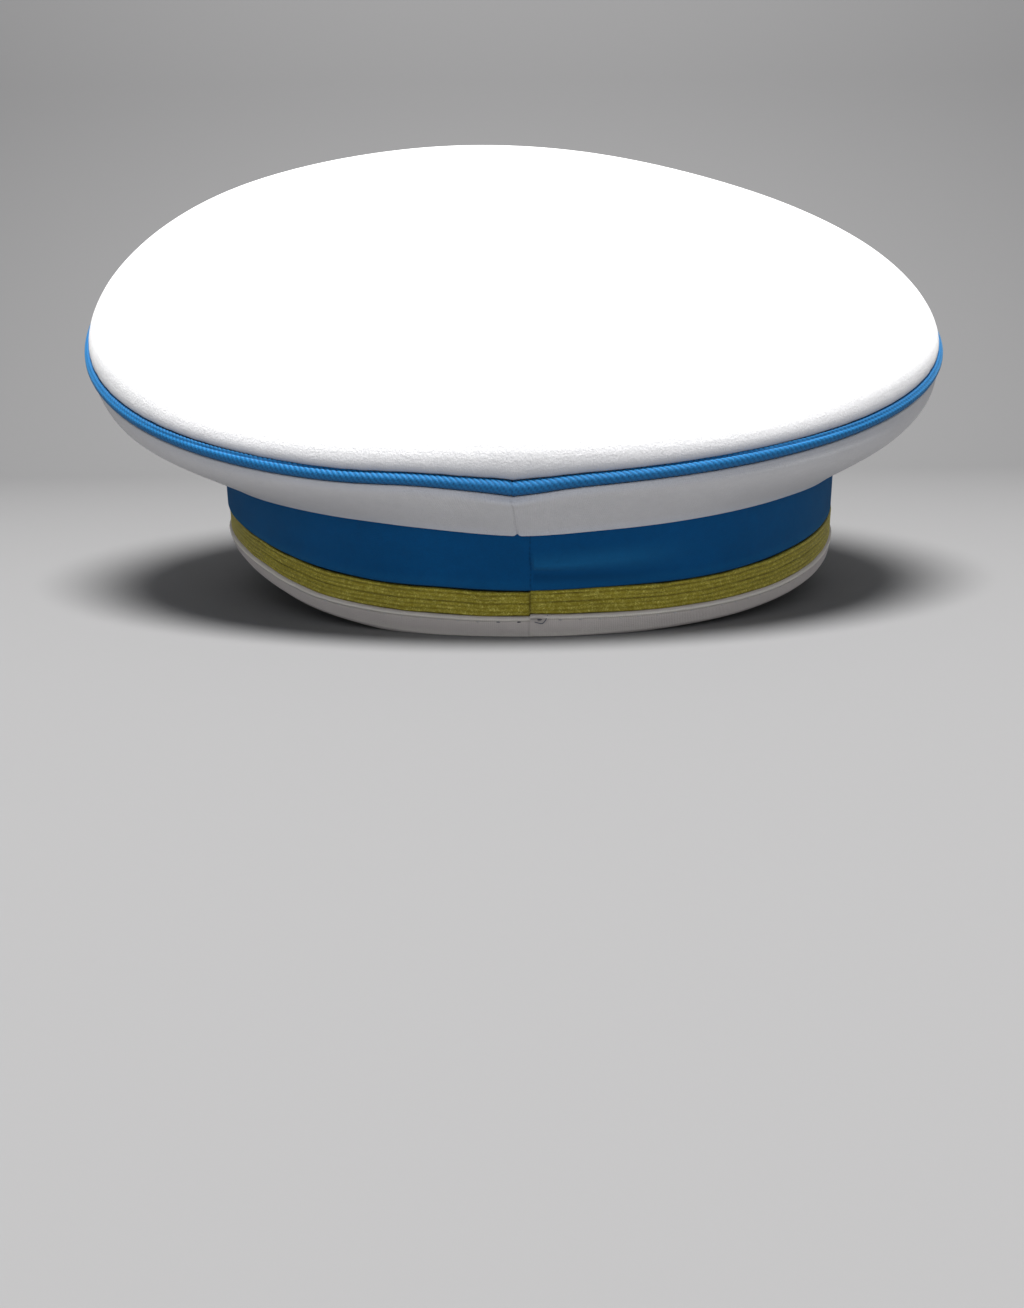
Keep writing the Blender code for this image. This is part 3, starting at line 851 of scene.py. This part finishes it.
def rimBinding():
    # the tape's middle line runs down the outside, round the fold and up the inside, stretched from the
    # fold's line to the braid's lower edge; z is no lower than the ground
    look = named(rimLook)
    turn = roundTurns(look.columns, 14.0, 0.04, -0.02)
    half, outerFace, start = look.cloth / 2, cap.rimOut, look.cornerDrop
    innerFace = -look.bandWall - cap.fitGap - look.cloth
    foldOut, foldIn, bend = outerFace - half, innerFace + half, start - half
    leg = np.linspace(look.height - half, start, 30)
    corner = np.linspace(0, pi / 2, 7)[1:]
    outs = [np.full(len(leg), foldOut), foldOut - bend * (1 - np.cos(corner))]
    heights = [leg, start - bend * np.sin(corner)]
    flat = np.linspace(outs[1][-1], foldIn + bend, 5)[1:]
    outs += [flat, foldIn + bend * (1 - np.sin(corner)), np.full(8, foldIn)]
    heights += [np.full(4, half), start - bend * np.cos(corner), np.linspace(start, look.inside, 9)[1:]]
    out, level = np.concatenate(outs)[::-1, None], np.concatenate(heights)[::-1, None]
    fold, rimTop = bandLine(turn, foldLine) - look.belowFold, braidEdge(turn, braidLow)
    z = fold + level * (rimTop - fold) / look.height
    middle = bandPoint(turn, out, z, cap.lowLean)
    outside = np.concatenate([np.zeros(len(out) - len(leg)), np.ones(len(leg))])[:, None]
    fromSeam = -turn * cap.bandHalfWidth - look.seamPlace
    below = rimTop - z
    ridge = bell((below - look.ridgeBelow) / look.ridgeWidth) * outside
    stitched = bell((below - look.stitchBelow) / look.stitchWidth) * outside
    wrinkles = clothWaves(turn, z * 300, 51, 20, 120, 1.0) * outside * ease(level, 0.0012, 0.0030)
    seam = bell(fromSeam / look.seamWidth) * outside
    height = look.ridgeProud * ridge - look.stitchDepth * stitched
    height = height + look.wrinkleDepth * wrinkles - look.seamDepth * seam
    sheet = pushOut(middle, half + height)
    points = closedSection(sheet, innerSheet(middle, half, 18), half, 5)
    points[..., 2] = np.maximum(points[..., 2], ground(points[..., 1]))
    smudge = bell((fromSeam + look.smudgePast) / 0.0021) * bell((below - look.smudgeBelow) / 0.0008)
    shade = np.maximum(seam * look.seamShade, stitched * look.stitchShade)
    shade = np.maximum(shade, look.smudge * smudge * outside)
    # painted highlight on the ridge, and painted light on the lower part of the fold
    rubbed = ridge + look.rubbed * outside * bell((below - look.rubbedBelow) / 0.0009)
    marks = {"seam": onRows(points, shade), "worn": onRows(points, rubbed)}
    return addSurface("rim_binding_tape", points, marks)


# Stitches under the ridge: threads that dive into the tape, soiled near the seam, and a loose end
stitchLook = {
    "pitch": 0.0046, "length": 0.0015, "radius": 0.00021,
    "start": -0.0009,  # a stitch lies here, towards +X from the middle of the rear
    "soiledAt": 0.0022, "soiledReach": 0.0090,
    "seat": 0.00006,  # the thread's middle lies this deep under the tape's face
    "dive": 0.00050,  # and its ends go this much deeper
    "snagRadius": 0.00010,
}
# The loose end's path: metres towards +X from the rear's middle, above the rim plane, past the tape
snagPath = [
    # along, height, out
    (0.0004, 0.0039, -0.0002),
    (-0.0003, 0.0038, 0.0002),
    (-0.0012, 0.0036, 0.0003),
    (-0.0018, 0.0038, 0.0002),
    (-0.0023, 0.0046, 0.0003),
    (-0.0027, 0.0055, 0.0001),
]


def threadRings(path, radius, corners=6):
    # rings round a path of points [tube, ring, 3]: point + radius (side cos(angle) + lift sin(angle)),
    # with closed tips from a radius that shrinks at both ends
    run = np.gradient(path, axis=1)
    run /= np.linalg.norm(run, axis=-1, keepdims=True)
    side = np.cross(run, [0.0, 0.0, 1.0])
    side /= np.linalg.norm(side, axis=-1, keepdims=True)
    lift = np.cross(side, run)
    angle = (np.arange(corners) / corners * 2 * pi)[:, None]
    tip = np.sin(np.linspace(0.12, pi - 0.12, path.shape[1])) ** 0.4 * radius
    spokes = side[:, :, None] * np.cos(angle) + lift[:, :, None] * np.sin(angle)
    return path[:, :, None] + spokes * tip[:, None, None]


def turnAlongRim(along):
    # turn of the point that lies this far towards +X from the middle of the rear, measured along the rim
    fine = np.linspace(-pi, pi, 4001)
    running = runningLength(bandPoint(fine, cap.rimOut, 0.0))[:-1]
    return np.interp(np.interp(0.0, fine, running) - along, running, fine)


def rimStitches():
    # each thread: along = place + length s / 2, out = a bow that dives into the tape at both ends
    girth = pi * (cap.bandHalfWidth + cap.bandHalfLength)
    count = round(girth / stitchLook["pitch"])
    place = stitchLook["start"] + (np.arange(count) - count // 2) * girth / count
    s = np.linspace(-1, 1, 7)[None, :]
    turn = turnAlongRim(place[:, None] + s * stitchLook["length"] / 2)
    out = cap.rimOut - stitchLook["seat"] - stitchLook["dive"] * s**2
    path = bandPoint(turn, out, braidEdge(turn, braidLow) - rimLook["stitchBelow"], cap.lowLean)
    soiled = bell((place - stitchLook["soiledAt"]) / stitchLook["soiledReach"])[:, None, None]
    return addTubes("rim_stitches", threadRings(path, stitchLook["radius"]), soiled)


def threadSnag():
    # one loose end of dark thread that lies on the tape, along the table's curve
    along, height, out = throughRows(snagPath, 6).T
    path = bandPoint(turnAlongRim(along), cap.rimOut + out, height, cap.lowLean)
    return addTubes("rim_thread_snag", threadRings(path[None], stitchLook["snagRadius"]), 1.0)


# Peak: one stiff sheet of black patent leather
peakLook = {
    "columns": 176, "rows": 40,
    "end": 0.0040,  # its reach at both ends
    "halfSpan": 64.0,  # degrees to each side of the front
    "straight": 24.0,  # its edge lies on the ground as far as this
    "taper": 0.8, "curve": 0.18,
    "nose": 0.28,  # its rounded edge stands out by this share of the thickness
}


def peakPoints():
    # square to the band: the upper face falls by tan(slope) reach bend, the lower face is one thickness
    # below, and the lower corner is cut level where it meets the ground
    look = named(peakLook)
    slope, span = math.radians(cap.peakSlope), math.radians(look.halfSpan)
    tangent, cosine, sine = math.tan(slope), math.cos(slope), math.sin(slope)
    angle = np.linspace(-span, span, look.columns)[None, :]
    root = cap.rimOut + cap.fitGap
    x, y = ovalPlan(pi + angle, cap.bandHalfWidth, cap.bandHalfLength, root)
    fx, fy = ovalPlan(pi + angle, cap.bandHalfWidth, cap.bandHalfLength, root + 1)
    nx, ny = fx - x, fy - y
    thick, flat, seat = cap.peakThickness, cap.peakFlat, cap.peakSeat
    clear = seat - ground(y) - thick * (cosine - groundSlope() * ny * sine) + flat
    reach = clear / (tangent + groundSlope() * ny)
    past = np.maximum(0, np.abs(np.degrees(angle)) - look.straight)
    past = past / (look.halfSpan - look.straight)
    taper = (1 - np.minimum(past, 1) ** 2) ** look.taper
    reach = look.end + (reach - look.end) * taper
    w = np.linspace(0, 1, look.rows)[:, None]
    bend = w * (1 - look.curve) + look.curve * w**2
    topLevel, topHeight = reach * w, seat - tangent * reach * bend
    underSeat = seat - thick / cosine
    cornerHeight = topHeight[-1:] - thick * cosine
    underLevel, underHeight = (reach - thick * sine) * w, underSeat - (underSeat - cornerHeight) * bend
    nose = np.linspace(0, 1, 9)[1:-1, None]
    noseOut = look.nose * thick * np.sin(pi * nose)
    noseLevel = topLevel[-1:] + (underLevel[-1:] - topLevel[-1:]) * nose + noseOut * cosine
    noseHeight = topHeight[-1:] + (cornerHeight - topHeight[-1:]) * nose - noseOut * sine
    level = np.concatenate([topLevel, noseLevel, underLevel[::-1]])
    height = np.concatenate([topHeight, noseHeight, underHeight[::-1]])
    points = np.stack(np.broadcast_arrays(x + nx * level, y + ny * level, height), -1)
    points[..., 2] = np.maximum(points[..., 2], ground(points[..., 1]))
    return points


def peakPiece():
    # a closed section at each turn, joined from end to end and capped with a fan at both ends
    points = peakPoints().transpose(1, 0, 2)
    poles = [points[0].mean(0), points[-1].mean(0)]
    return addSurface("peak_patent", points, {"seam": 0.0}, poles)


# What the cloths share, then what each has of its own. In each, deep is the tone that seams and painted
# shade darken towards, and the tone after it is that of painted highlights
clothBase = {
    "lean": 0.0, "cross": 0.4, "threadHeight": 0.5, "fibre": 2600.0, "clump": 500.0, "valley": 0.06,
    "sheenTint": (1, 1, 1, 1), "sheen": 0.15, "sheenRough": 0.5, "gloss": 0.2, "bump": 0.4,
}
whiteFelt = clothMaterial("whiteFelt", {
    "threadsRound": 900, "threadPitch": 0.0009, "threadHeight": 0.0, "valley": 0.0,
    "fibre": 1900.0, "clump": 420.0, "patch": 1.2, "speck": 0.30, "seam": 1.0,
    "light": (0.90, 0.90, 0.91, 1), "dark": (0.84, 0.84, 0.86, 1), "deep": (0.14, 0.17, 0.25, 1),
    "worn": (0.90, 0.90, 0.91, 1), "rough": 0.92, "sheen": 0.2, "bump": 0.45, "bumpDepth": 0.0004,
})
whiteCloth = clothMaterial("whiteCloth", {
    "threadsRound": 1500, "threadPitch": 0.00048, "cross": 0.6,
    "fibre": 2300.0, "patch": 1.3, "speck": 0.26, "seam": 0.8,
    "light": (0.705, 0.702, 0.722, 1), "dark": (0.632, 0.630, 0.648, 1), "deep": (0.25, 0.26, 0.28, 1),
    "worn": (0.78, 0.83, 0.96, 1), "rough": 0.88, "sheen": 0.1, "bump": 0.5, "bumpDepth": 0.0003,
})
pipingTwill = clothMaterial("pipingTwill", {
    "threadsRound": 2200, "threadPitch": 0.00034, "lean": -1.0, "cross": 0.5, "threadHeight": 0.6,
    "fibre": 3200.0, "clump": 600.0, "patch": 0.6, "speck": 0.15, "valley": 0.12, "seam": 0.85,
    "light": (0.010, 0.225, 0.560, 1), "dark": (0.006, 0.170, 0.440, 1), "deep": (0.002, 0.040, 0.13, 1),
    "worn": (0.05, 0.33, 0.72, 1), "rough": 0.66, "sheenTint": (0.5, 0.8, 1, 1), "sheenRough": 0.35,
    "gloss": 0.35, "bumpDepth": 0.00015,
})
blueWool = clothMaterial("blueWool", {
    "threadsRound": 1650, "threadPitch": 0.00036, "lean": 1.0,
    "clump": 420.0, "patch": 1.4, "speck": 0.40, "valley": 0.16, "seam": 0.95,
    "light": (0.0024, 0.107, 0.325, 1), "dark": (0.0014, 0.080, 0.245, 1),
    "deep": (0.0008, 0.008, 0.024, 1), "worn": (0.009, 0.140, 0.360, 1), "rough": 0.85,
    "sheenTint": (0.3, 0.75, 1, 1), "sheen": 0.14, "sheenRough": 0.4, "gloss": 0.12, "bump": 0.6,
    "bumpDepth": 0.00022,
})
whiteTape = clothMaterial("whiteTape", {
    "threadsRound": 1400, "threadPitch": 0.00045, "cross": 0.7, "threadHeight": 0.6,
    "patch": 0.7, "speck": 0.10, "seam": 0.9,
    "light": (0.74, 0.690, 0.665, 1), "dark": (0.655, 0.608, 0.585, 1), "deep": (0.16, 0.14, 0.14, 1),
    "worn": (0.96, 0.92, 0.84, 1), "rough": 0.86, "gloss": 0.25, "bumpDepth": 0.00020,
})
threadLook = {
    "fibre": 5200.0, "clump": 1400.0, "dimTone": (0.10, 0.10, 0.12, 1), "rough": 0.55,
    "stitchClean": (0.74, 0.72, 0.72, 1), "stitchSoiled": (0.012, 0.020, 0.045, 1),
    "looseTone": (0.13, 0.15, 0.20, 1),
}
goldLook = {
    "strandsRound": 2700.0, "strandPitch": 0.00050, "lean": 0.6, "cross": 0.3, "gapShade": 0.45,
    "fibre": 2900.0, "clump": 900.0, "patch": 90.0, "sparkle": 2.0, "rough": 0.22, "metallic": 0.35,
    "dark": (0.30, 0.240, 0.010, 1), "light": (0.56, 0.465, 0.026, 1), "spark": (1.0, 0.93, 0.20, 1),
    "deep": (0.060, 0.042, 0.006, 1),
}
patentLook = {
    "tone": (0.010, 0.010, 0.011, 1), "scuffTone": (0.05, 0.05, 0.052, 1), "scuffScale": 900.0,
    "rippleScale": 260.0, "smearScale": 40.0, "rough": 0.06, "coat": 0.8, "coatRough": 0.05,
}


def sewingThread(name, lighter, soiled):
    # spun thread: fine fibres from Object coordinates, soiled where its mark says
    look = named(threadLook)
    material, tree, shader = newMaterial(name)
    fibres = placeGroup(tree, nap, Vector=objectPlace(tree), Fibre=look.fibre, Clump=look.clump)
    tone = blendColour(tree, mark(tree, "seam"), lighter, soiled)
    dim = blendColour(tree, fibres["Patch"], tone, look.dimTone)
    fill(tree, shader, {
        "Base Color": blendColour(tree, 0.65, dim, tone),
        "Roughness": calc(tree, "MULTIPLY_ADD", fibres["Height"], 0.2, look.rough),
    })
    addBump(tree, shader, fibres["Height"], 0.4, 0.0001)
    return material


def goldThread():
    # metallic thread: fine slanted strands from clothMap, painted glints on some of them, painted shade
    # between the strands and between the ribs
    look = named(goldLook)
    material, tree, shader = newMaterial("goldThread")
    strands = weaveOver(tree, look.strandsRound, look.strandPitch, look.lean, look.cross)
    fibres = placeGroup(
        tree, nap, Vector=objectPlace(tree), Fibre=look.fibre, Clump=look.clump, Patch=look.patch
    )
    # painted glints: the highest fibres are painted towards a bright yellow
    spark = calc(tree, "MULTIPLY", calc(tree, "POWER", fibres["Height"], 8.0), look.sparkle)
    tone = blendColour(tree, fibres["Patch"], look.dark, look.light)
    tone = blendColour(tree, calc(tree, "MINIMUM", spark, 1.0), tone, look.spark)
    gap = calc(tree, "MULTIPLY", strands["Gap"], look.gapShade)
    fill(tree, shader, {
        "Base Color": blendColour(tree, calc(tree, "MAXIMUM", gap, mark(tree, "seam")), tone, look.deep),
        "Roughness": calc(tree, "MULTIPLY_ADD", fibres["Height"], 0.3, look.rough),
        "Metallic": look.metallic,
    })
    addBump(tree, shader, calc(tree, "MULTIPLY_ADD", strands["Height"], 0.8, fibres["Height"]), 0.6, 0.0002)
    return material


def blackPatent():
    # varnished leather: near black, faint orange-peel ripple, small scuffs that dull the gloss
    look = named(patentLook)
    material, tree, shader = newMaterial("blackPatent")
    place = objectPlace(tree)
    ripple = noise(tree, place, look.rippleScale, 2.0, 0.5)
    scuffs = noise(tree, place, look.scuffScale, 5.0, 0.75)
    worn = calc(tree, "MULTIPLY", calc(tree, "POWER", scuffs, 5.0), 1.2)
    dull = calc(tree, "MULTIPLY_ADD", noise(tree, place, look.smearScale), 0.16, look.rough)
    fill(tree, shader, {
        "Base Color": blendColour(tree, worn, look.tone, look.scuffTone),
        "Roughness": calc(tree, "ADD", dull, calc(tree, "MULTIPLY", worn, 0.5)),
        "Coat Weight": look.coat,
        "Coat Roughness": look.coatRough,
    })
    addBump(tree, shader, ripple, 0.25, 0.0003)
    return material


stitchThread = sewingThread("stitchThread", threadLook["stitchClean"], threadLook["stitchSoiled"])
looseThread = sewingThread("looseThread", threadLook["looseTone"], threadLook["looseTone"])
topCloth = dress(crownTop(), whiteFelt, "crown_top")
dress(crownPiping(), pipingTwill, "crown_piping")
sideCloth = dress(sidePanel(), whiteCloth, "crown_side")
bandCloth = dress(blueBand(), blueWool, "band")
dress(goldBraid(), goldThread(), "gold_braid")
rimTape = dress(rimBinding(), whiteTape, "rim_binding")
dress(peakPiece(), blackPatent(), "peak")
dress(rimStitches(), stitchThread, None)
dress(threadSnag(), looseThread, None)

print("cap pieces are in place")


# Stage, light and camera
stageLook = {
    "halfWidth": 4.0, "behindCamera": 4.0,
    "sweepStart": -0.42,  # the floor starts to rise here
    "sweepRadius": 0.30, "top": 1.6,
    "below": 0.00005,  # the floor lies this far under the cap
    "floorColour": (0.215, 0.215, 0.22, 1), "roomColour": (0.93, 0.96, 1.0, 1),
    "roomStrength": 0.16,
}


def floorSweep():
    # level floor, a quarter circle up, then an upright wall, as one smooth strip
    start, radius = stageLook["sweepStart"], stageLook["sweepRadius"]
    rising = np.linspace(0, pi / 2, 25)
    level = [stageLook["behindCamera"], 0.2, start + 0.1]
    y = np.concatenate([level, start - radius * np.sin(rising), [start - radius]])
    z = np.concatenate([[0, 0, 0], radius * (1 - np.cos(rising)), [stageLook["top"]]]) - stageLook["below"]
    x = np.linspace(-stageLook["halfWidth"], stageLook["halfWidth"], 9)
    points = np.stack(np.broadcast_arrays(x[None, :], y[:, None], z[:, None]), -1)
    rows, columns = points.shape[:2]
    r, c = np.meshgrid(np.arange(rows - 1), np.arange(columns - 1), indexing="ij")
    corner = (r * columns + c).ravel()
    faces = np.stack([corner, corner + 1, corner + columns + 1, corner + columns], 1)
    floor = addPiece("floor_sweep", points.reshape(-1, 3), faces.tolist(), {})
    material, tree, shader = newMaterial("floorPaper")
    fill(tree, shader, {"Base Color": stageLook["floorColour"], "Roughness": 0.8})
    floor.data.materials.append(material)


lightLook = {
    # name: place, aimed at, size, watts, colour
    "overhead": ((0.0, 0.25, 1.18), (0.0, 0.0, 0.05), 0.6, 34.0, (1.0, 0.99, 0.97)),
    "rearFill": ((-0.10, 1.6, 0.55), (0.0, 0.0, 0.02), 0.9, 3.4, (0.97, 0.98, 1.0)),
}


def addLights():
    # round lamps turned towards their targets, and the room's even light
    for name, (place, target, size, watts, colour) in lightLook.items():
        lamp = bpy.data.lights.new(name, "AREA")
        lamp.shape, lamp.size, lamp.energy, lamp.color = "DISK", size, watts, colour
        light = bpy.data.objects.new(name, lamp)
        light.location = place
        light.rotation_euler = (Vector(target) - Vector(place)).to_track_quat("-Z", "Y").to_euler()
        bpy.context.scene.collection.objects.link(light)
    world = bpy.data.worlds.new("softRoom")
    world.use_nodes = True
    room = {"Color": stageLook["roomColour"], "Strength": stageLook["roomStrength"]}
    fill(world.node_tree, world.node_tree.nodes["Background"], room)
    bpy.context.scene.world = world
    bpy.context.scene.view_settings.view_transform = "Standard"


cameraLook = {
    "back": 0.375, "height": 0.0888, "side": 0.0058,  # from the band's centre, in the cap frame
    "down": 19.1, "roll": 0.65, "level": -0.28,  # degrees
    "focalPixels": 1265.0, "imageHeight": 1308.0,
}


def addCamera():
    # behind the cap, at the photographed distance and angle to its rim plane
    look = named(cameraLook)
    down, level, roll = (math.radians(angle) for angle in (look.down, look.level, look.roll))
    turned = Matrix.Rotation(pi, 4, "Z") @ Matrix.Rotation(pi / 2 - down, 4, "X")
    place = Matrix.Translation((look.side, look.back, look.height)) @ turned
    tipped = Matrix.Rotation(level, 4, "X") @ Matrix.Rotation(roll, 4, "Y")
    lens = bpy.data.cameras.new("rearView")
    lens.sensor_width = 36.0
    lens.lens = 36.0 * look.focalPixels / look.imageHeight
    lens.clip_start = 0.01
    camera = bpy.data.objects.new("rearView", lens)
    camera.matrix_world = capPlace @ tipped.inverted() @ place
    bpy.context.scene.collection.objects.link(camera)
    bpy.context.scene.camera = camera


floorSweep()
addLights()
addCamera()
print("stage, lights and camera are in place")
